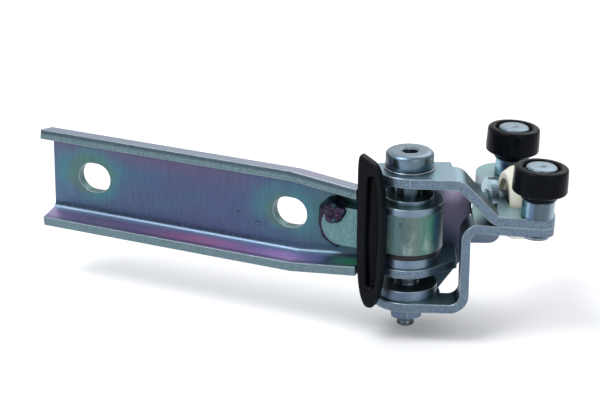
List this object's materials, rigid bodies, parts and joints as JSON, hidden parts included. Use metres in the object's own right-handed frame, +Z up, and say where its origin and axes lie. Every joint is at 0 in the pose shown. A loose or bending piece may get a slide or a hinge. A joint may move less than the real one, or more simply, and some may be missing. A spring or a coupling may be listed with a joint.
{
  "type": "sliding door roller",
  "caption": "Sliding door roller: a pressed channel arm with door slots and a rubber seal, hinged to a carriage with guide rollers and a load roller.",
  "frame": {"origin": "midway between the two door slots, on the back face of the arm's web, at the channel's mid-height", "axes": "+X along the arm towards the pivot, +Y out of the web's back face into the door, +Z up along the pivot bolt towards its head"},
  "size_m": [0.1837, 0.0704, 0.0633],
  "materials": {
    "zinc_steel": "iridescent zinc plating, satin",
    "knuckle_steel": "pale grey-green plating, fine grain",
    "weld_steel": "heat-tinted weld, rough",
    "bright_steel": "bright zinc plating, satin",
    "bush_steel": "dark grey-green, matt",
    "bush_plastic": "black acetal, matt",
    "bush_bronze": "sintered bronze, matt",
    "seal_rubber": "black rubber, satin",
    "roller_plastic": "black nylon, glossy, greyed rims",
    "roller_nylon": "cream nylon, smooth"
  },
  "bodies": {
    "arm": {"channel_arm": "zinc_steel", "pivot_knuckle": "knuckle_steel", "tongue_weld": "weld_steel", "rubber_seal": "seal_rubber", "upper_bush": "bush_steel", "lower_bush": "bush_plastic"},
    "carriage": {"thrust_ring": "bright_steel", "spacer_ring": "bright_steel", "pivot_bolt": "bright_steel", "head_washer": "bright_steel", "clamp_disc": "bright_steel", "pivot_nut": "bright_steel", "upper_bracket": "zinc_steel", "jaw_plate": "zinc_steel", "jaw_weld": "weld_steel", "lower_bracket": "zinc_steel", "axle_plate": "zinc_steel", "front_roller_stem": "bright_steel", "rear_roller_stem": "bright_steel", "load_roller_axle": "bright_steel", "load_roller_spacer": "bright_steel"},
    "front_roller": {"front_guide_roller": "roller_plastic", "front_roller_bush": "bush_bronze"},
    "rear_roller": {"rear_guide_roller": "roller_plastic", "rear_roller_bush": "bush_bronze"},
    "load_wheel": {"load_roller": "roller_nylon", "load_roller_bush": "bush_bronze"}
  },
  "joints": [
    {"name": "carriage_swing", "type": "hinge", "parent": "arm", "child": "carriage", "pos_m": [0.078, 0.0038, 0], "axis": [0, 0, 1], "range_deg": [-40, 30]},
    {"name": "front_roller_spin", "type": "hinge", "parent": "carriage", "child": "front_roller", "pos_m": [0.11971, 0.01278, 0.0071], "axis": [0.0398, 0.0177, 0.999], "continuous": true},
    {"name": "rear_roller_spin", "type": "hinge", "parent": "carriage", "child": "rear_roller", "pos_m": [0.09805, 0.0464, 0.00737], "axis": [0.0398, 0.0177, 0.999], "continuous": true},
    {"name": "load_roller_spin", "type": "hinge", "parent": "carriage", "child": "load_wheel", "pos_m": [0.10692, 0.02835, 0.00443], "axis": [0.8397, 0.5413, -0.0431], "continuous": true}
  ]
}
